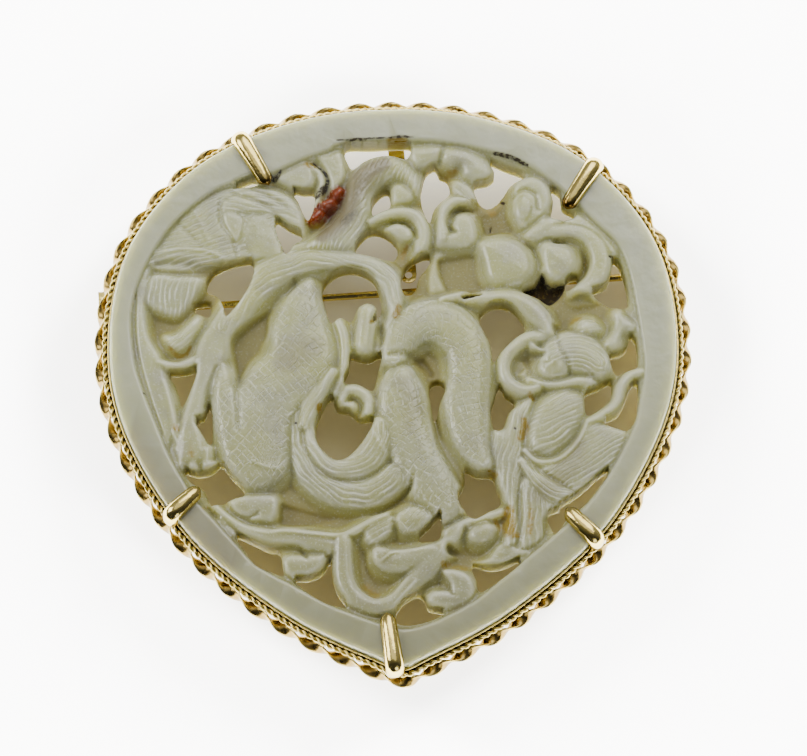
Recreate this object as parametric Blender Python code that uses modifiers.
"""Jade brooch: a pierced and carved jade plaque in a gold claw mount.

The brooch lies on its back, its carved face up (+Z) and its blunt point towards -Y. The plaque is
one carved piece: a plain rim around openwork that is cut right through. Behind and around it runs
the mount: an L-section band that carries the plaque, a rope wire and a twisted ribbon soldered
around the band, and five claws that close over the rim. On the back are a hinged pin with its
catch, and a hinged bail strap that folds down behind the plaque.

Sizes are in millimetres and are turned to metres as the shapes are made.
"""

import itertools
import math

import bmesh
import bpy
from mathutils import Vector

MM = 0.001

# Driving dimensions of the plaque
PLAQUE_THICKNESS = 3.2
GROUND_THICKNESS = 1.8
RIM_EDGE_ROUND = 0.3
CARVING_MIDDLE = 1.7
OUTLINE_POINTS = 64
STROKE_STEP = 1.5
RELIEF_VOXEL = 0.26
RELIEF_KEEP = 0.0232

# Right-hand half of the rim's outer edge, from the top to the blunt point
OUTER_HALF = ((0.0, 27.55), (9.4, 26.35), (18.5, 22.1), (24.9, 14.4), (27.05, 5.0), (25.6, -4.5),
              (19.5, -15.0), (10.4, -22.9), (2.2, -27.25), (0.0, -28.1))
# The rim's inner edge, clockwise from the top; it was sawn by eye and isn't even
INNER_EDGE = ((0.0, 24.25), (8.2, 23.4), (15.2, 20.2), (20.0, 15.1), (22.9, 10.0), (23.9, 0.5),
              (22.6, -5.4), (17.8, -13.0), (11.3, -18.6), (7.2, -21.9), (2.4, -24.2),
              (0.2, -24.6), (-4.2, -23.1), (-9.8, -20.2), (-15.2, -16.0), (-19.2, -11.2),
              (-22.4, -4.6), (-24.7, 2.6), (-25.0, 7.0), (-22.5, 14.0), (-17.0, 19.5),
              (-12.4, 20.9), (-8.0, 22.7), (-4.6, 24.1))

# Driving dimensions of the mount; offsets are measured outwards from the plaque's edge
FITTING_DEPTH = 2.2
LEDGE_THICKNESS = 0.3
LEDGE_WIDTH = 1.2
WALL_INNER = 0.1
WALL_OUTER = 0.28
WALL_DROP = 1.1
SEAT_GAP = 0.1
SOLDER_GAP = 0.08
ROPE_RADIUS = 0.22
ROPE_OFFSET = 0.58
ROPE_DROP = 1.6
RIBBON_OFFSET = 0.95
RIBBON_DROP = 2.4
RIBBON_HALF_WIDTH = 0.55
RIBBON_HALF_THICKNESS = 0.12
RIBBON_HALF_TURNS = 56
RIBBON_STEPS = 5

CLAW_WIDTH = 1.5
CLAW_THICKNESS = 0.75
CLAW_ROUND = 0.22
CLAW_BEND = 0.68
CLAW_CORNER = 0.2
# Each claw: the place of its tip on the rim's inner edge, and its bearing outwards in degrees
CLAWS = {
    "claw_top_left": (-11.6, 20.0, 118.9),
    "claw_top_right": (17.1, 16.9, 55.6),
    "claw_lower_left": (-18.7, -10.5, 223.4),
    "claw_lower_right": (15.9, -13.5, -48.2),
    "claw_bottom": (-1.3, -23.2, -83.1),
}

# Driving dimensions of the pin, its hinge and its catch
PIN_RADIUS = 0.36
PIN_HEIGHT = 1.0
PIN_SLOPE = math.radians(2.55)
PIN_HINGE_PLACE = (25.4, 11.35)
PIN_LENGTH = 52.6
PIN_TAPER = 6.0
PIN_ROOT = 0.55
PIN_TIP_SHARE = 0.12
KNUCKLE_RADIUS = 0.8
KNUCKLE_HALF = 0.5
RIVET_RADIUS = 0.3
RIVET_CLEARANCE = 0.1
EAR_THICKNESS = 0.45
EAR_RADIUS = 1.0
EAR_GAP = 0.12
RIVET_RECESS = 0.05
BASE_THICKNESS = 0.3
CATCH_PLACE = 51.4
CATCH_INNER = 0.6
CATCH_OUTER = 0.95
CATCH_HALF_LENGTH = 0.8
CATCH_MOUTH = math.radians(48.0)
CATCH_BASE = (1.5, 2.1)
CATCH_ROOF = 0.12
THUMB_TAB = (2.2, 1.9, 0.45)
THUMB_TAB_SHIFT = (1.25, 0.855)

# Driving dimensions of the bail
BAIL_SLOPE = math.radians(3.8)
BAIL_PLACE = (0.70, 27.2)
BAIL_HEIGHT = 1.35
BAIL_LENGTH = 16.2
BAIL_HALF_WIDTH = 0.78
BAIL_STRAP = (0.1, 0.45)
BAIL_EYE = 0.38
BAIL_KNUCKLE = 0.45
BAIL_KNUCKLE_HALF = 0.8
BAIL_RIVET = 0.2
BAIL_RIVET_CLEARANCE = 0.08
BAIL_BASE_THICKNESS = 0.2

# Pierced openings: a chain of drilled circles (x, y, radius), sawn out between one and the next
# and a little further towards the top
SAW_REACH = 0.5
PIERCINGS = {
    "top slot": ((1.9, 23.25, 0.45), (-1.6, 23.35, 0.45), (-3.3, 22.85, 0.85)),
    "bead gap": ((-7.8, 17.1, 0.4), (-7.9, 18.5, 0.8), (-8.6, 19.0, 0.4)),
    "feather triangle": ((-9.9, 14.3, 0.8), (-9.8, 14.7, 1.0), (-10.7, 15.9, 0.4)),
    "wing window": ((-15.5, 8.1, 0.9), (-15.5, 10.1, 1.7), (-14.2, 11.3, 1.1)),
    "wing slit": ((-17.9, 7.7, 0.6), (-18.6, 7.8, 0.4)),
    "left triangle": ((-20.2, -1.3, 0.4), (-20.0, 0.4, 0.9), (-19.0, 1.1, 0.3)),
    "left drop": ((-17.7, -5.4, 0.4), (-18.1, -4.0, 0.7), (-17.7, -2.8, 0.3)),
    "arch window": ((-4.9, 7.8, 1.6), (-4.9, 9.1, 1.8), (-2.4, 9.1, 1.2)),
    "knob gap": ((-2.4, -0.1, 0.6), (-2.7, 1.0, 1.0), (-3.5, 0.9, 1.0), (-1.7, 1.9, 0.5)),
    "great window": ((-3.4, -4.7, 0.7), (-5.3, -5.3, 2.2), (-6.1, -3.4, 1.2)),
    "coil slot": ((3.8, -3.5, 0.2), (4.1, -1.1, 0.7)),
    "ring window": ((9.9, 2.7, 0.6), (10.2, 5.6, 1.6), (11.0, 5.2, 1.6)),
    "robe gap": ((9.7, -4.5, 0.6), (10.2, -2.7, 0.9), (10.1, -1.9, 0.6)),
    "right window": ((19.7, 8.1, 0.3), (21.5, 7.9, 1.0), (21.7, 10.9, 0.4)),
    "knob window": ((21.5, 1.1, 0.9), (22.7, 1.3, 0.8), (22.9, 3.3, 0.3)),
    "branch window": ((20.4, -1.5, 0.5), (19.1, -2.5, 0.9), (18.6, -3.3, 0.6)),
    "rim window": ((20.5, -4.8, 0.3), (22.0, -4.7, 0.8), (22.9, -1.4, 0.4)),
    "skirt gap": ((7.7, -12.1, 1.7), (7.8, -11.2, 1.6)),
    "rim slot": ((19.8, -10.0, 0.2), (17.0, -12.8, 0.6), (15.7, -13.2, 0.4)),
    "rim corner": ((14.9, -15.1, 0.4), (15.0, -14.3, 0.8), (15.5, -13.9, 0.5)),
    "lower right gap": ((11.1, -18.5, 0.3), (8.0, -19.6, 0.8), (7.8, -20.5, 0.4)),
    "tail gap": ((2.5, -15.6, 0.4), (3.4, -15.2, 0.6), (3.9, -14.0, 0.3)),
    "scroll gap": ((-11.9, -17.7, 1.0), (-12.9, -17.3, 0.9), (-14.9, -15.4, 0.3)),
    "ribbon gap": ((-5.8, -21.9, 0.4), (-7.3, -20.2, 1.1), (-8.2, -20.2, 0.7),
                   (-9.6, -19.7, 0.2)),
    "tip gap": ((3.5, -23.3, 0.3), (0.6, -23.1, 1.0), (1.5, -22.4, 0.9)),
    "left low gap": ((-15.1, -10.7, 0.7), (-16.9, -10.2, 1.5), (-19.5, -9.2, 0.3)),
    "cloud gap": ((11.9, 20.5, 0.8), (10.9, 19.6, 0.8), (9.5, 18.7, 1.1)),
    "claw gap": ((17.5, 16.1, 0.4), (16.3, 16.4, 0.6), (16.2, 18.5, 0.3)),
    "hook gap": ((3.7, 16.7, 0.4), (4.5, 19.4, 1.3), (4.4, 20.3, 1.0)),
    "neck curl": ((-1.2, 17.5, 0.5), (-0.5, 18.3, 0.7)),
    "ruyi gap": ((-0.2, 13.3, 0.9), (-1.4, 13.8, 1.2), (-2.4, 13.6, 0.9)),
    "strap window": ((1.6, 9.4, 0.7), (2.0, 10.9, 0.7), (3.3, 12.0, 0.4)),
}

# Carved forms: the height of the crest over the plaque's back, then (x, y, half width) along it
CARVING = {
    "long limb": (3.3, ((-0.7, 5.2, 0.7), (0.0, 7.2, 0.8), (-0.3, 9.6, 1.2), (-2.4, 11.2, 0.95),
                        (-5.0, 12.1, 0.9), (-8.2, 12.6, 1.2), (-11.3, 12.0, 1.5), (-13.7, 9.9, 1.3),
                        (-15.9, 7.0, 1.1), (-17.3, 4.0, 1.0), (-18.3, 1.2, 0.9), (-18.9, -1.6, 0.8),
                        (-19.6, -4.6, 1.1), (-19.3, -7.1, 1.6))),
    "body": (3.7, ((-7.9, 10.0, 0.9), (-9.0, 7.2, 2.6), (-9.8, 3.2, 4.0), (-11.0, -0.6, 4.0),
                   (-12.0, -4.4, 3.4), (-12.2, -7.4, 2.5), (-12.2, -9.0, 1.3))),
    "flank": (3.0, ((-16.2, 1.6, 0.8), (-16.5, -1.5, 1.2), (-16.0, -5.0, 1.4), (-14.8, -8.0, 1.3),
                    (-13.2, -9.9, 0.9))),
    "drape outer": (3.2, ((-6.3, 1.8, 0.7), (-8.1, -1.8, 0.9), (-8.9, -5.0, 1.2), (-8.2, -8.2, 1.5),
                          (-5.6, -10.4, 1.5), (-2.4, -10.4, 1.6), (0.2, -8.9, 1.4))),
    "drape inner": (3.5, ((-7.3, -1.0, 0.5), (-8.0, -4.2, 0.6), (-7.4, -7.2, 0.9),
                          (-5.2, -8.6, 1.0), (-2.9, -7.9, 1.3), (-1.2, -6.0, 1.4))),
    "coil crown": (3.7, ((-0.1, 2.4, 1.6), (1.0, 4.6, 2.2), (3.2, 5.6, 2.3), (5.6, 5.3, 2.3),
                         (7.0, 3.2, 2.1), (7.1, 0.0, 2.1), (6.6, -3.2, 2.3), (7.3, -6.4, 1.9),
                         (8.6, -8.9, 0.9))),
    "coil leg": (3.4, ((-0.2, 1.6, 1.3), (0.8, -0.9, 2.2), (1.0, -4.4, 2.5), (2.1, -8.0, 2.6),
                       (3.5, -11.0, 2.4), (4.2, -13.0, 1.4))),
    "knob": (3.4, ((-2.4, 6.8, 1.0), (-2.6, 5.0, 1.15), (-2.6, 3.2, 0.95))),
    "body edge": (2.9, ((-5.4, 5.8, 0.8), (-4.9, 3.6, 0.8), (-5.3, 1.4, 0.7))),
    "neck": (3.6, ((-6.9, 14.0, 1.0), (-5.6, 15.0, 1.9), (-4.7, 16.8, 2.0), (-3.7, 19.0, 1.7),
                   (-2.3, 20.9, 1.3), (-0.4, 21.9, 1.0), (1.5, 21.3, 0.95), (2.7, 19.8, 0.8),
                   (2.3, 18.6, 0.6))),
    "feather 1": (3.3, ((-23.4, 11.4, 0.9), (-22.0, 14.8, 1.3), (-19.2, 17.9, 1.5),
                        (-15.8, 19.7, 1.2), (-13.0, 20.3, 0.7))),
    "feather 2": (3.1, ((-22.0, 12.8, 0.9), (-19.4, 15.2, 1.4), (-16.0, 17.4, 1.6),
                        (-12.6, 18.8, 1.3), (-10.4, 18.4, 0.8))),
    "feather 3": (3.4, ((-20.4, 13.0, 1.0), (-17.0, 14.5, 1.5), (-13.9, 15.9, 1.7),
                        (-11.8, 17.3, 0.9))),
    "feather 4": (3.0, ((-23.2, 11.6, 0.8), (-19.6, 12.6, 1.1), (-15.6, 13.1, 0.9),
                        (-12.6, 13.4, 1.4), (-10.9, 15.0, 0.4))),
    "fan": (2.9, ((-22.4, 8.6, 1.8), (-20.4, 9.6, 1.9), (-19.0, 11.0, 1.2))),
    "left web": (2.6, ((-24.0, 8.0, 1.0), (-24.2, 4.0, 1.2), (-23.6, 0.5, 1.3), (-22.4, -3.0, 1.3),
                       (-21.3, -6.4, 1.3))),
    "left hook": (3.0, ((-18.0, 7.0, 0.5), (-19.3, 5.6, 1.1), (-20.6, 4.6, 1.1))),
    "left bar": (2.7, ((-23.0, 2.6, 0.6), (-20.9, 2.4, 0.5), (-19.0, 2.6, 0.5))),
    "left tie": (2.6, ((-21.6, -2.2, 0.8), (-20.6, -3.4, 0.8), (-19.6, -3.8, 0.6))),
    "bud": (2.6, ((-9.2, 20.9, 1.5), (-8.6, 20.2, 1.3))),
    "bud hook": (2.8, ((-7.7, 22.2, 0.4), (-6.7, 21.7, 0.5), (-6.3, 20.4, 0.5), (-6.8, 19.1, 0.4))),
    "beads": (2.7, ((-6.9, 16.7, 0.8), (-6.0, 17.9, 0.75), (-4.9, 19.0, 0.65))),
    "bridge": (2.2, ((-5.2, 22.8, 0.6), (-4.4, 21.6, 0.7), (-4.0, 20.4, 0.8))),
    "curl boss": (3.0, ((1.2, 19.2, 1.1), (0.4, 19.9, 0.7))),
    "top cloud": (3.1, ((1.9, 22.6, 0.8), (3.4, 22.7, 1.4), (4.9, 23.1, 1.1), (6.8, 22.5, 1.6),
                        (8.5, 21.6, 1.6), (9.2, 20.9, 1.2))),
    "cloud bud": (2.8, ((6.1, 20.9, 0.9), (7.2, 20.4, 1.0))),
    "cloud stem": (2.3, ((6.6, 19.4, 1.0), (8.6, 18.4, 0.9), (10.0, 16.6, 0.9), (9.6, 15.0, 0.9))),
    "ruyi": (3.3, ((-1.6, 16.3, 0.6), (0.2, 16.9, 0.8), (2.1, 16.8, 0.95), (3.1, 15.4, 0.85),
                   (2.9, 13.9, 0.75), (2.3, 12.8, 0.5))),
    "ruyi disc": (2.9, ((0.9, 15.2, 0.9), (1.4, 14.9, 0.9))),
    "ruyi root": (2.6, ((-2.2, 15.6, 0.6), (-3.0, 14.9, 0.8), (-3.6, 13.6, 0.8))),
    "scroll": (3.2, ((8.6, 17.3, 0.6), (7.2, 18.2, 0.7), (5.5, 17.6, 0.8), (4.6, 15.9, 0.8),
                     (4.8, 14.0, 0.75), (6.4, 13.0, 0.7), (8.0, 13.8, 0.7), (8.1, 15.4, 0.8),
                     (6.9, 15.9, 0.7))),
    "scroll disc": (3.0, ((7.1, 15.0, 1.1), (7.5, 15.2, 1.1))),
    "right cloud": (3.1, ((11.6, 17.4, 0.6), (11.4, 18.6, 0.8), (12.2, 19.3, 0.85),
                          (13.7, 19.8, 0.85), (15.0, 18.8, 0.75), (14.9, 17.3, 0.7))),
    "right cloud disc": (2.8, ((12.9, 17.4, 1.2), (13.1, 16.6, 1.2))),
    "leaf": (3.1, ((13.0, 13.8, 0.6), (14.6, 15.1, 0.95), (16.3, 16.3, 0.5))),
    "c band": (3.2, ((15.2, 14.9, 0.7), (17.6, 14.9, 1.1), (19.6, 13.4, 1.4), (20.2, 11.0, 1.2),
                     (19.0, 9.2, 0.9), (17.4, 8.4, 0.6))),
    "c edge": (2.9, ((19.4, 16.0, 0.7), (20.9, 14.0, 0.9), (21.7, 12.6, 0.5))),
    "c disc": (3.4, ((15.5, 12.2, 1.9), (16.1, 11.5, 1.8))),
    "round lobe": (3.5, ((11.1, 12.0, 2.4), (11.5, 11.2, 2.3))),
    "arc": (3.4, ((6.0, 7.9, 0.5), (8.4, 8.0, 0.75), (11.4, 8.0, 0.95), (13.7, 6.8, 0.9),
                  (14.7, 4.8, 0.8))),
    "bun": (3.4, ((18.5, 5.0, 1.25), (18.8, 4.9, 1.2))),
    "hair": (3.6, ((19.2, 1.6, 1.9), (17.6, 2.4, 2.2), (16.0, 1.8, 2.2), (14.6, 0.8, 1.3))),
    "hair edge": (3.2, ((13.2, -0.3, 0.7), (15.6, -0.7, 0.8), (18.2, -0.8, 0.8), (19.6, -0.2, 0.8))),
    "arm": (3.2, ((14.4, 3.5, 0.8), (12.4, 3.7, 0.85), (10.8, 2.4, 0.85), (10.6, 0.4, 0.85),
                  (12.0, -1.2, 0.85), (13.9, -1.2, 0.7))),
    "knob upper": (3.0, ((21.5, 5.8, 0.9), (21.6, 4.9, 1.1))),
    "knob lower": (2.9, ((20.6, 3.0, 0.9), (21.5, 3.2, 0.9))),
    "branch": (3.1, ((23.8, 0.0, 0.8), (21.9, -0.6, 0.75), (21.3, -2.2, 0.7), (20.2, -3.6, 0.7),
                     (18.6, -4.6, 0.8))),
    "robe leaf": (3.7, ((16.2, -2.9, 1.8), (15.3, -4.8, 2.6), (14.3, -6.8, 1.8))),
    "robe left": (3.1, ((12.6, -2.6, 1.0), (11.6, -5.0, 1.2), (11.0, -8.0, 1.3), (10.7, -11.2, 1.3),
                        (11.4, -14.4, 1.6), (10.4, -16.6, 1.4))),
    "robe right": (3.2, ((18.2, -5.2, 0.9), (18.8, -7.2, 1.5), (17.4, -9.4, 1.5),
                         (15.4, -10.8, 1.3), (13.8, -12.6, 1.2), (12.8, -15.0, 1.2))),
    "robe fold": (3.0, ((22.4, -6.4, 0.6), (20.8, -7.6, 1.1), (19.2, -9.2, 0.9))),
    "sash": (3.4, ((11.4, -7.8, 0.7), (13.0, -9.8, 1.0), (14.9, -11.6, 1.1), (16.0, -12.5, 0.6))),
    "skirt hem": (2.8, ((12.3, -17.2, 0.8), (10.2, -18.0, 0.7), (8.4, -17.8, 0.5))),
    "low stem": (2.7, ((-17.4, -12.6, 0.6), (-15.6, -13.6, 0.8), (-12.6, -14.6, 0.8),
                       (-9.0, -14.9, 0.8), (-5.4, -14.9, 0.8), (-2.9, -14.0, 0.8),
                       (-1.0, -13.4, 0.7))),
    "low scroll": (2.9, ((-13.6, -12.2, 1.5), (-12.9, -11.8, 1.6))),
    "low band": (2.9, ((-9.2, -16.0, 1.0), (-7.3, -16.4, 1.0), (-7.4, -17.9, 1.0),
                       (-9.2, -18.2, 1.5))),
    "u ribbon": (3.2, ((-5.0, -15.0, 0.9), (-5.3, -17.6, 0.9), (-4.6, -20.2, 1.0),
                       (-2.5, -21.9, 1.0), (-0.2, -21.3, 0.9), (1.8, -19.4, 0.9),
                       (3.7, -17.6, 1.0), (5.0, -15.8, 0.9), (5.6, -14.0, 0.8))),
    "comma": (3.1, ((3.0, -19.3, 0.6), (4.6, -19.1, 0.9), (5.8, -20.0, 1.2), (5.2, -21.3, 1.1),
                    (3.6, -21.7, 1.0))),
    "comma web": (2.0, ((6.6, -22.0, 0.8), (7.2, -20.6, 0.6))),
    "feather foot": (3.2, ((-0.4, -13.0, 1.1), (-1.6, -14.8, 1.2), (-2.4, -16.3, 0.8))),
    "foot boss": (3.1, ((-1.5, -18.2, 0.8), (-0.2, -17.3, 1.2), (1.6, -16.9, 1.2),
                        (3.2, -16.8, 0.8))),
    "scaly boss": (3.0, ((1.3, -13.7, 1.5), (2.2, -13.6, 1.4))),
    "low boss": (3.1, ((7.8, -15.1, 1.5), (8.1, -15.3, 1.4))),
    "small bud": (2.6, ((5.6, -13.2, 0.6), (6.2, -13.6, 0.5))),
    "hook scroll": (2.9, ((-1.9, -3.4, 0.7), (-2.4, -1.9, 0.6), (-3.4, -0.8, 0.6),
                          (-4.7, -0.9, 0.55), (-5.3, -2.0, 0.5), (-4.7, -2.8, 0.6),
                          (-4.0, -2.4, 0.5))),
}

# Heights over the surface that the brooch lies on
FRAME_BACK = FITTING_DEPTH
PLAQUE_BACK = FRAME_BACK + LEDGE_THICKNESS + SEAT_GAP
RIM_TOP = PLAQUE_BACK + PLAQUE_THICKNESS


def clear_scene():
    """Remove every object that is already in the scene."""
    for obj in list(bpy.data.objects):
        bpy.data.objects.remove(obj, do_unlink=True)


def make_collection(name):
    """Return a new collection that is linked to the scene."""
    collection = bpy.data.collections.new(name)
    bpy.context.scene.collection.children.link(collection)
    return collection


def make_material(name, colour, metallic, roughness):
    """Return a Principled material."""
    material = bpy.data.materials.new(name)
    material.use_nodes = True
    shader = material.node_tree.nodes["Principled BSDF"]
    shader.inputs["Base Color"].default_value = (*colour, 1.0)
    shader.inputs["Metallic"].default_value = metallic
    shader.inputs["Roughness"].default_value = roughness
    material.diffuse_color = (*colour, 1.0)
    return material


def smooth_curve(points, step, closed=False):
    """Return points at about one step apart on a Catmull-Rom curve through the given points."""
    count = len(points)
    result = []
    for i in range(count if closed else count - 1):
        if closed:
            around = [points[(i + k) % count] for k in (-1, 0, 1, 2)]
        else:
            around = [points[min(max(i + k, 0), count - 1)] for k in (-1, 0, 1, 2)]
        before, start, end, after = (Vector(p) for p in around)
        pieces = max(2, round((end - start).length / step))
        for j in range(pieces):
            t = j / pieces
            result.append(0.5 * (2 * start + (end - before) * t
                                 + (2 * before - 5 * start + 4 * end - after) * t * t
                                 + (3 * start - before - 3 * end + after) * t ** 3))
    if not closed:
        result.append(Vector(points[-1]))
    return result


def even_loop(points, count):
    """Return a closed loop of evenly spaced points on the polygon, starting at its first point."""
    ends = points[1:] + points[:1]
    lengths = [(b - a).length for a, b in zip(points, ends)]
    spacing = sum(lengths) / count
    result = []
    run = 0.0
    edge = 0
    for i in range(count):
        while run + lengths[edge] < i * spacing - 1e-9:
            run += lengths[edge]
            edge += 1
        share = (i * spacing - run) / lengths[edge]
        result.append(points[edge].lerp(ends[edge], share))
    return result


def edge_loop(half, count):
    """Return a whole plaque edge, mirrored from its right half, as evenly spaced points."""
    left = [(-x, y) for x, y in half[-2:0:-1]]
    return whole_loop(list(half) + left, count)


def whole_loop(points, count):
    """Return a smooth closed loop through the points, as evenly spaced points."""
    return even_loop(smooth_curve(points, 0.4, closed=True), count)


def offset_loop(loop, distance):
    """Return the clockwise loop moved outwards by a distance."""
    result = []
    for i, point in enumerate(loop):
        along = (loop[(i + 1) % len(loop)] - loop[i - 1]).normalized()
        result.append(point + Vector((-along.y, along.x)) * distance)
    return result


def link(obj, collection, material=None):
    """Put an object in a collection and give it its material."""
    collection.objects.link(obj)
    if material:
        obj.data.materials.append(material)
    return obj


def hide_helper(obj):
    """Mark an object as a cutter or guide."""
    obj.hide_render = True
    obj.display_type = "WIRE"
    return obj


def flat_outline(name, loops, half_thickness, rounding, collection, material=None):
    """Return a flat outline of one or more loops, with thickness and rounded edges."""
    curve = bpy.data.curves.new(name, "CURVE")
    curve.dimensions = "2D"
    curve.fill_mode = "BOTH"
    curve.extrude = (half_thickness - rounding) * MM
    curve.bevel_depth = rounding * MM
    curve.bevel_resolution = 0
    curve.offset = -rounding * MM
    for loop in loops:
        spline = curve.splines.new("POLY")
        spline.points.add(len(loop) - 1)
        for place, point in zip(spline.points, loop):
            place.co = (point[0] * MM, point[1] * MM, 0.0, 1.0)
        spline.use_cyclic_u = True
    return link(bpy.data.objects.new(name, curve), collection, material)


def wire(name, points, collection, material=None, closed=False, radius=1.0, resolution=1):
    """Return a wire through points (x, y, z, share of the radius)."""
    curve = bpy.data.curves.new(name, "CURVE")
    curve.dimensions = "3D"
    curve.twist_mode = "Z_UP"
    curve.bevel_depth = radius * MM
    curve.bevel_resolution = resolution
    curve.use_fill_caps = True
    spline = curve.splines.new("POLY")
    spline.points.add(len(points) - 1)
    for place, point in zip(spline.points, points):
        place.co = (point[0] * MM, point[1] * MM, point[2] * MM, 1.0)
        place.radius = point[3]
    spline.use_cyclic_u = closed
    return link(bpy.data.objects.new(name, curve), collection, material)


def as_mesh(obj):
    """Replace a curve object by the closed mesh that it makes."""
    name = obj.name
    collection = obj.users_collection[0]
    bpy.context.view_layer.update()
    evaluated = obj.evaluated_get(bpy.context.evaluated_depsgraph_get())
    mesh = bpy.data.meshes.new_from_object(evaluated)
    bm = bmesh.new()
    bm.from_mesh(mesh)
    bmesh.ops.remove_doubles(bm, verts=bm.verts, dist=1e-7)
    bmesh.ops.recalc_face_normals(bm, faces=bm.faces)
    bm.to_mesh(mesh)
    bm.free()
    solid = bpy.data.objects.new(name + "_solid", mesh)
    solid.matrix_world = obj.matrix_world
    collection.objects.link(solid)
    bpy.data.objects.remove(obj, do_unlink=True)
    solid.name = name
    return solid


def combine(target, helper, operation):
    """Add a Boolean that joins the helper to the target or cuts it away."""
    modifier = target.modifiers.new(helper.name, "BOOLEAN")
    modifier.object = helper
    modifier.operation = operation
    modifier.solver = "EXACT"


def drum(name, radius, half_length, place, axis_turn, collection, sides=14, material=None):
    """Return a round bar lying in the plan; its axis is +Y turned by an angle about Z."""
    bm = bmesh.new()
    bmesh.ops.create_cone(bm, cap_ends=True, segments=sides, radius1=radius * MM,
                          radius2=radius * MM, depth=2 * half_length * MM)
    mesh = bpy.data.meshes.new(name)
    bm.to_mesh(mesh)
    bm.free()
    obj = bpy.data.objects.new(name, mesh)
    obj.location = Vector(place) * MM
    obj.rotation_euler = (math.pi / 2, 0.0, axis_turn)
    return link(obj, collection, material)


def block(name, size, place, turn, collection, material=None):
    """Return a rectangular block, turned about Z."""
    bm = bmesh.new()
    bmesh.ops.create_cube(bm, size=1.0)
    bmesh.ops.scale(bm, vec=Vector(size) * MM, verts=bm.verts)
    mesh = bpy.data.meshes.new(name)
    bm.to_mesh(mesh)
    bm.free()
    obj = bpy.data.objects.new(name, mesh)
    obj.location = Vector(place) * MM
    obj.rotation_euler = (0.0, 0.0, turn)
    return link(obj, collection, material)


def arc(centre, radius, start, end, count):
    """Return points on an arc between two angles in radians."""
    return [(centre[0] + radius * math.cos(start + (end - start) * i / count),
             centre[1] + radius * math.sin(start + (end - start) * i / count))
            for i in range(count + 1)]


def rounded_stroke(points):
    """Return (x, y, half width) along a smooth stroke with round ends."""
    path = smooth_curve(points, STROKE_STEP)
    result = list(path)
    for index, inner in ((0, 1), (-1, -2)):
        end = path[index]
        outward = Vector((end.x - path[inner].x, end.y - path[inner].y)).normalized()
        caps = []
        for angle in (35, 65, 86):
            reach = end.z * math.sin(math.radians(angle))
            caps.append(Vector((end.x + outward.x * reach, end.y + outward.y * reach,
                                end.z * math.cos(math.radians(angle)))))
        result = result + caps if index else caps[::-1] + result
    return result


def add_mesh(bm, obj, squash=None):
    """Copy an object's mesh into a bmesh; a carved form is squashed in height, with a flat back."""
    mesh = obj.data.copy()
    mesh.transform(obj.matrix_world)
    if squash:
        middle = (PLAQUE_BACK + CARVING_MIDDLE) * MM
        for vertex in mesh.vertices:
            height = middle + (vertex.co.z - middle) * squash
            vertex.co.z = max(height, PLAQUE_BACK * MM)
    bm.from_mesh(mesh)
    bpy.data.meshes.remove(mesh)
    bpy.data.objects.remove(obj, do_unlink=True)


def make_piercings(helpers):
    """Return one cutter that holds every pierced opening as upright prisms."""
    bm = bmesh.new()
    cut_heights = (PLAQUE_BACK - 1.0, RIM_TOP + 1.0)
    for circles in PIERCINGS.values():
        for first, second in zip(circles, circles[1:]):
            verts = []
            for x, y, radius in (first, second):
                for px, py in arc((x, y), radius, 0.0, 2 * math.pi, 12)[:-1]:
                    for place in itertools.product((px,), (py, py + SAW_REACH), cut_heights):
                        verts.append(bm.verts.new(Vector(place) * MM))
            made = bmesh.ops.convex_hull(bm, input=verts)
            spare = [v for v in made["geom_interior"] if isinstance(v, bmesh.types.BMVert)]
            bmesh.ops.delete(bm, geom=spare, context="VERTS")
    bmesh.ops.recalc_face_normals(bm, faces=bm.faces)
    mesh = bpy.data.meshes.new("piercings")
    bm.to_mesh(mesh)
    bm.free()
    return hide_helper(link(bpy.data.objects.new("piercings", mesh), helpers))


def make_plaque(parts, helpers, jade):
    """Build the plaque: rim, pierced ground and carved forms, fused into one body."""
    outer = edge_loop(OUTER_HALF, OUTLINE_POINTS)
    inner = whole_loop(INNER_EDGE, OUTLINE_POINTS)
    rim = flat_outline("rim", [outer, inner], PLAQUE_THICKNESS / 2, RIM_EDGE_ROUND, helpers)
    rim.location.z = (PLAQUE_BACK + PLAQUE_THICKNESS / 2) * MM
    ground = flat_outline("ground", [offset_loop(inner, 0.5)], GROUND_THICKNESS / 2, 0.0, helpers)
    ground.location.z = (PLAQUE_BACK + GROUND_THICKNESS / 2) * MM
    ground = as_mesh(ground)
    piercings = make_piercings(helpers)
    combine(ground, piercings, "DIFFERENCE")
    ground.modifiers[0].use_self = True

    bm = bmesh.new()
    add_mesh(bm, as_mesh(rim))
    add_mesh(bm, as_mesh(ground))
    middle = PLAQUE_BACK + CARVING_MIDDLE
    for name, (crest, points) in CARVING.items():
        stroke = [(p.x, p.y, middle, p.z) for p in rounded_stroke(points)]
        form = as_mesh(wire(name, stroke, helpers, resolution=2))
        widest = max(p[2] for p in points)
        add_mesh(bm, form, squash=(crest - CARVING_MIDDLE) / widest)
    bpy.data.objects.remove(piercings, do_unlink=True)
    mesh = bpy.data.meshes.new("jade_plaque")
    bm.to_mesh(mesh)
    bm.free()

    plaque = link(bpy.data.objects.new("jade_plaque", mesh), parts, jade)
    fuse = plaque.modifiers.new("fuse", "REMESH")
    fuse.mode = "VOXEL"
    fuse.voxel_size = RELIEF_VOXEL * MM
    thin = plaque.modifiers.new("thin", "DECIMATE")
    thin.ratio = RELIEF_KEEP
    return plaque


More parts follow.
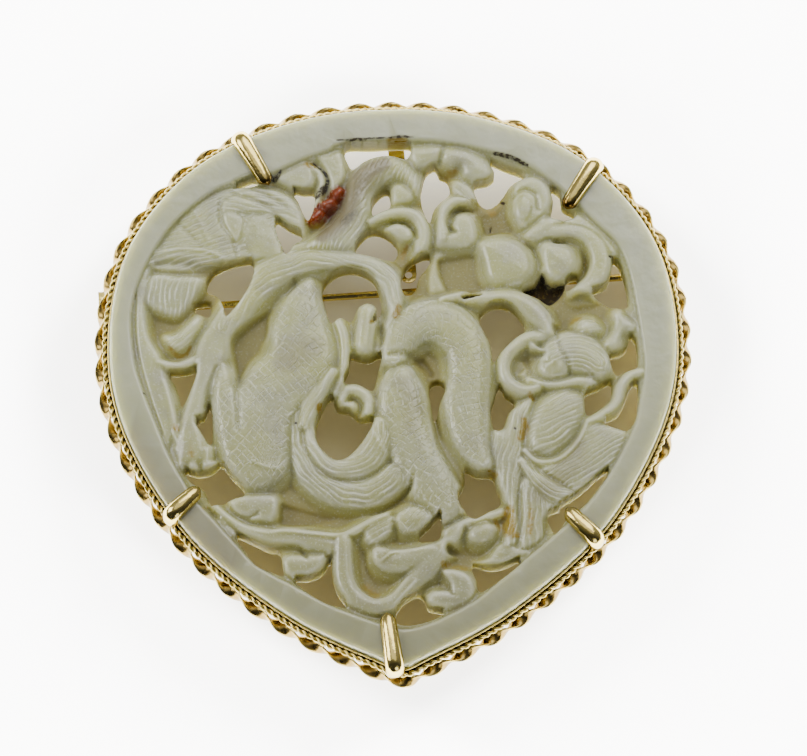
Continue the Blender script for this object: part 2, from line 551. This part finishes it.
def make_band(parts, helpers, gold):
    """Build the L-section band: a ledge under the plaque and a wall around its edge."""
    wall_top = RIM_TOP - WALL_DROP
    seat = FRAME_BACK + LEDGE_THICKNESS
    section = ((LEDGE_WIDTH, FRAME_BACK), (-WALL_OUTER, FRAME_BACK), (-WALL_OUTER, wall_top),
               (-WALL_INNER, wall_top), (-WALL_INNER, seat), (LEDGE_WIDTH, seat))
    profile = flat_outline("band_section", [section], 0.0, 0.0, helpers)
    hide_helper(profile)
    edge = edge_loop(OUTER_HALF, OUTLINE_POINTS)
    band = wire("mount_band", [(p.x, p.y, 0.0, 1.0) for p in edge], parts, gold, closed=True)
    band.data.bevel_mode = "OBJECT"
    band.data.bevel_object = profile
    return band


def make_rope(parts, gold):
    """Build the rope wire that lies against the outside of the band."""
    edge = offset_loop(edge_loop(OUTER_HALF, OUTLINE_POINTS), ROPE_OFFSET)
    height = RIM_TOP - ROPE_DROP
    return wire("rope_wire", [(p.x, p.y, height, 1.0) for p in edge], parts, gold, closed=True,
                radius=ROPE_RADIUS, resolution=0)


def make_ribbon(parts, helpers, gold):
    """Build the twisted ribbon below the rope wire, an even number of half turns around.

    The ribbon's faces are warped by the twist, so they are split along their shorter diagonals,
    which keeps the two sides of the ribbon apart.
    """
    across = RIBBON_HALF_WIDTH
    up = RIBBON_HALF_THICKNESS
    section = ((-across, up), (across, up), (across, -up), (-across, -up))
    profile = flat_outline("ribbon_section", [section], 0.0, 0.0, helpers)
    hide_helper(profile)
    count = RIBBON_HALF_TURNS * RIBBON_STEPS
    path = offset_loop(edge_loop(OUTER_HALF, count), RIBBON_OFFSET)
    height = RIM_TOP - RIBBON_DROP
    ribbon = wire("ribbon_edging", [(p.x, p.y, height, 1.0) for p in even_loop(path, count)], parts,
                  gold, closed=True)
    ribbon.data.bevel_mode = "OBJECT"
    ribbon.data.bevel_object = profile
    for index, place in enumerate(ribbon.data.splines[0].points):
        place.tilt = -math.pi * index / RIBBON_STEPS
    ribbon = as_mesh(ribbon)
    split = ribbon.modifiers.new("split", "TRIANGULATE")
    split.quad_method = "SHORTEST_DIAGONAL"
    return ribbon


def distance_to_edge(tip, bearing):
    """Return how far the plaque's edge is from a point inside it, along a bearing."""
    loop = edge_loop(OUTER_HALF, OUTLINE_POINTS)
    ahead = Vector((math.cos(bearing), math.sin(bearing)))
    side = Vector((-ahead.y, ahead.x))
    for start, end in zip(loop, loop[1:] + loop[:1]):
        a = start - tip
        b = end - tip
        if a.dot(side) * b.dot(side) <= 0 and a.dot(ahead) > 0:
            share = a.dot(side) / (a.dot(side) - b.dot(side))
            return a.lerp(b, share).dot(ahead)
    return 0.0


def make_claw(name, tip, bearing, parts, gold):
    """Build one claw: a leg that stands outside the plaque's edge and a finger over its rim."""
    across = Vector((-math.sin(bearing), math.cos(bearing))) * CLAW_WIDTH / 2
    reach = max(distance_to_edge(tip + across * share, bearing) for share in (-1, 0, 1))
    foot = RIM_TOP - WALL_DROP + SOLDER_GAP
    under = RIM_TOP + SEAT_GAP
    top = under + CLAW_THICKNESS
    leg_in = -WALL_INNER
    leg_out = leg_in - CLAW_THICKNESS
    nose = CLAW_THICKNESS / 2
    side = [(leg_out, foot)]
    side += arc((leg_out + CLAW_BEND, top - CLAW_BEND), CLAW_BEND, math.pi, math.pi / 2, 3)
    side += arc((reach - nose, top - nose), nose, math.pi / 2, -math.pi / 2, 4)
    side += [(leg_in + CLAW_CORNER, under), (leg_in, under - CLAW_CORNER), (leg_in, foot)]
    claw = flat_outline(name, [side], CLAW_WIDTH / 2, CLAW_ROUND, parts, gold)
    edge = tip + Vector((math.cos(bearing), math.sin(bearing))) * reach
    claw.location = (edge.x * MM, edge.y * MM, 0.0)
    claw.rotation_euler = (math.pi / 2, 0.0, bearing + math.pi)
    return claw


def plan_point(origin, turn, along, across):
    """Return a plan point at distances along and across a direction turned from -X."""
    return (origin[0] - along * math.cos(turn) + across * math.sin(turn),
            origin[1] - along * math.sin(turn) - across * math.cos(turn))


def make_pin(parts, helpers, gold):
    """Build the pin: a tapered stem with a bored knuckle, its origin on the hinge's axis."""
    place = (*PIN_HINGE_PLACE, PIN_HEIGHT)
    knuckle = drum("pin_stem", KNUCKLE_RADIUS, KNUCKLE_HALF, place, PIN_SLOPE, parts, material=gold)
    run = [(PIN_ROOT, 1.0), (PIN_LENGTH - PIN_TAPER, 1.0), (PIN_LENGTH - 0.4 * PIN_TAPER, 0.62),
           (PIN_LENGTH, PIN_TIP_SHARE)]
    points = [(*plan_point(place, PIN_SLOPE, along, 0.0), PIN_HEIGHT, share) for along, share in run]
    stem = hide_helper(as_mesh(wire("stem_wire", points, helpers, radius=PIN_RADIUS, resolution=2)))
    bore = hide_helper(drum("pin_bore", RIVET_RADIUS + RIVET_CLEARANCE, 2 * KNUCKLE_HALF, place,
                            PIN_SLOPE, helpers))
    combine(knuckle, stem, "UNION")
    combine(knuckle, bore, "DIFFERENCE")
    return knuckle


def make_pin_hinge(parts, helpers, gold):
    """Build the pin's hinge: two round ears under a base plate, with the rivet through them."""
    top = FRAME_BACK - SOLDER_GAP
    middle = KNUCKLE_HALF + EAR_GAP + EAR_THICKNESS / 2
    width = 2 * (middle + EAR_THICKNESS / 2)
    length = 2 * EAR_RADIUS
    base = block("pin_hinge", (length, width, BASE_THICKNESS),
                 (*PIN_HINGE_PLACE, top - BASE_THICKNESS / 2), PIN_SLOPE, parts, gold)
    rivet = drum("hinge_rivet", RIVET_RADIUS, width / 2 - RIVET_RECESS,
                 (*PIN_HINGE_PLACE, PIN_HEIGHT), PIN_SLOPE, helpers)
    ear_top = top - BASE_THICKNESS / 2 - PIN_HEIGHT
    ear_side = [(EAR_RADIUS, ear_top), (-EAR_RADIUS, ear_top)]
    ear_side += arc((0.0, 0.0), EAR_RADIUS, math.pi, 2 * math.pi, 10)
    for label, across in (("ear_low", middle), ("ear_high", -middle)):
        ear = as_mesh(flat_outline(label, [ear_side], EAR_THICKNESS / 2, 0.0, helpers))
        ear.rotation_euler = (math.pi / 2, 0.0, PIN_SLOPE)
        spot = plan_point(PIN_HINGE_PLACE, PIN_SLOPE, 0.0, across)
        ear.location = Vector((*spot, PIN_HEIGHT)) * MM
        combine(base, hide_helper(ear), "UNION")
    combine(base, hide_helper(rivet), "UNION")
    return base


def make_catch(parts, helpers, gold):
    """Build the catch: a C-shaped ring open to the back, its block and a thumb tab."""
    spot = plan_point(PIN_HINGE_PLACE, PIN_SLOPE, CATCH_PLACE, 0.0)
    mouth = -math.pi / 2
    first = mouth + CATCH_MOUTH
    last = mouth - CATCH_MOUTH + 2 * math.pi
    ring_side = arc((0.0, 0.0), CATCH_OUTER, first, last, 14)
    ring_side += arc((0.0, 0.0), CATCH_INNER, last, first, 14)
    ring = as_mesh(flat_outline("pin_catch", [ring_side], CATCH_HALF_LENGTH, 0.0, parts, gold))
    ring.rotation_euler = (math.pi / 2, 0.0, math.pi / 2 + PIN_SLOPE)
    ring.location = Vector((*spot, PIN_HEIGHT)) * MM
    top = FRAME_BACK - SOLDER_GAP
    bottom = PIN_HEIGHT + CATCH_INNER + CATCH_ROOF
    base = block("catch_base", (*CATCH_BASE, top - bottom), (*spot, (top + bottom) / 2), PIN_SLOPE,
                 helpers)
    shift_along, shift_across = THUMB_TAB_SHIFT
    tab_spot = plan_point(PIN_HINGE_PLACE, PIN_SLOPE, CATCH_PLACE + shift_along, -shift_across)
    tab = block("catch_tab", THUMB_TAB, (*tab_spot, top - RIVET_RECESS - THUMB_TAB[2] / 2),
                PIN_SLOPE, helpers)
    combine(ring, hide_helper(base), "UNION")
    combine(ring, hide_helper(tab), "UNION")
    return ring


def make_bail(parts, helpers, gold):
    """Build the bail: a strap with an eye at its free end and a bored knuckle at its hinge."""
    place = (*BAIL_PLACE, BAIL_HEIGHT)
    turn = BAIL_SLOPE + math.pi / 2
    low, high = BAIL_STRAP
    end = -BAIL_LENGTH + BAIL_HALF_WIDTH
    strap_side = [(BAIL_HALF_WIDTH, 0.0), (BAIL_HALF_WIDTH, end)]
    strap_side += arc((0.0, end), BAIL_HALF_WIDTH, 0.0, -math.pi, 8)[1:]
    strap_side += [(-BAIL_HALF_WIDTH, 0.0)]
    eye = arc((0.0, end), BAIL_EYE, 0.0, 2 * math.pi, 12)[:-1]
    strap = as_mesh(flat_outline("bail_outline", [strap_side, eye], (high - low) / 2, 0.0, helpers))
    strap.location = Vector((*BAIL_PLACE, BAIL_HEIGHT + (low + high) / 2)) * MM
    strap.rotation_euler.z = BAIL_SLOPE
    knuckle = drum("bail_strap", BAIL_KNUCKLE, BAIL_KNUCKLE_HALF, place, turn, parts, material=gold)
    bore = hide_helper(drum("bail_bore", BAIL_RIVET + BAIL_RIVET_CLEARANCE, 2 * BAIL_KNUCKLE_HALF,
                            place, turn, helpers))
    combine(knuckle, hide_helper(strap), "UNION")
    combine(knuckle, bore, "DIFFERENCE")
    return knuckle


def make_bail_hinge(parts, helpers, gold):
    """Build the bail's hinge: two small ears under a base plate, with the rivet through them."""
    top = FRAME_BACK - SOLDER_GAP
    turn = BAIL_SLOPE + math.pi / 2
    middle = BAIL_KNUCKLE_HALF + EAR_GAP + EAR_THICKNESS / 2
    width = 2 * (middle + EAR_THICKNESS / 2)
    base = block("bail_hinge", (2 * BAIL_KNUCKLE, width, BAIL_BASE_THICKNESS),
                 (*BAIL_PLACE, top - BAIL_BASE_THICKNESS / 2), turn, parts, gold)
    rivet = drum("bail_rivet", BAIL_RIVET, width / 2 - RIVET_RECESS, (*BAIL_PLACE, BAIL_HEIGHT),
                 turn, helpers, sides=12)
    ear_top = top - BAIL_BASE_THICKNESS / 2 - BAIL_HEIGHT
    ear_side = [(BAIL_KNUCKLE, ear_top), (-BAIL_KNUCKLE, ear_top)]
    ear_side += arc((0.0, 0.0), BAIL_KNUCKLE, math.pi, 2 * math.pi, 8)
    for label, across in (("bail_ear_left", middle), ("bail_ear_right", -middle)):
        ear = as_mesh(flat_outline(label, [ear_side], EAR_THICKNESS / 2, 0.0, helpers))
        ear.rotation_euler = (math.pi / 2, 0.0, turn)
        spot = plan_point(BAIL_PLACE, turn, 0.0, across)
        ear.location = Vector((*spot, BAIL_HEIGHT)) * MM
        combine(base, hide_helper(ear), "UNION")
    combine(base, hide_helper(rivet), "UNION")
    return base


def main():
    """Build the brooch."""
    clear_scene()
    parts = make_collection("jade_brooch")
    helpers = make_collection("cutters")
    jade = make_material("jade", (0.46, 0.46, 0.36), 0.0, 0.28)
    gold = make_material("gold", (0.86, 0.62, 0.27), 1.0, 0.18)
    make_plaque(parts, helpers, jade)
    make_band(parts, helpers, gold)
    make_rope(parts, gold)
    make_ribbon(parts, helpers, gold)
    for name, (x, y, bearing) in CLAWS.items():
        make_claw(name, Vector((x, y)), math.radians(bearing), parts, gold)
    make_pin(parts, helpers, gold)
    make_pin_hinge(parts, helpers, gold)
    make_catch(parts, helpers, gold)
    make_bail(parts, helpers, gold)
    make_bail_hinge(parts, helpers, gold)


main()
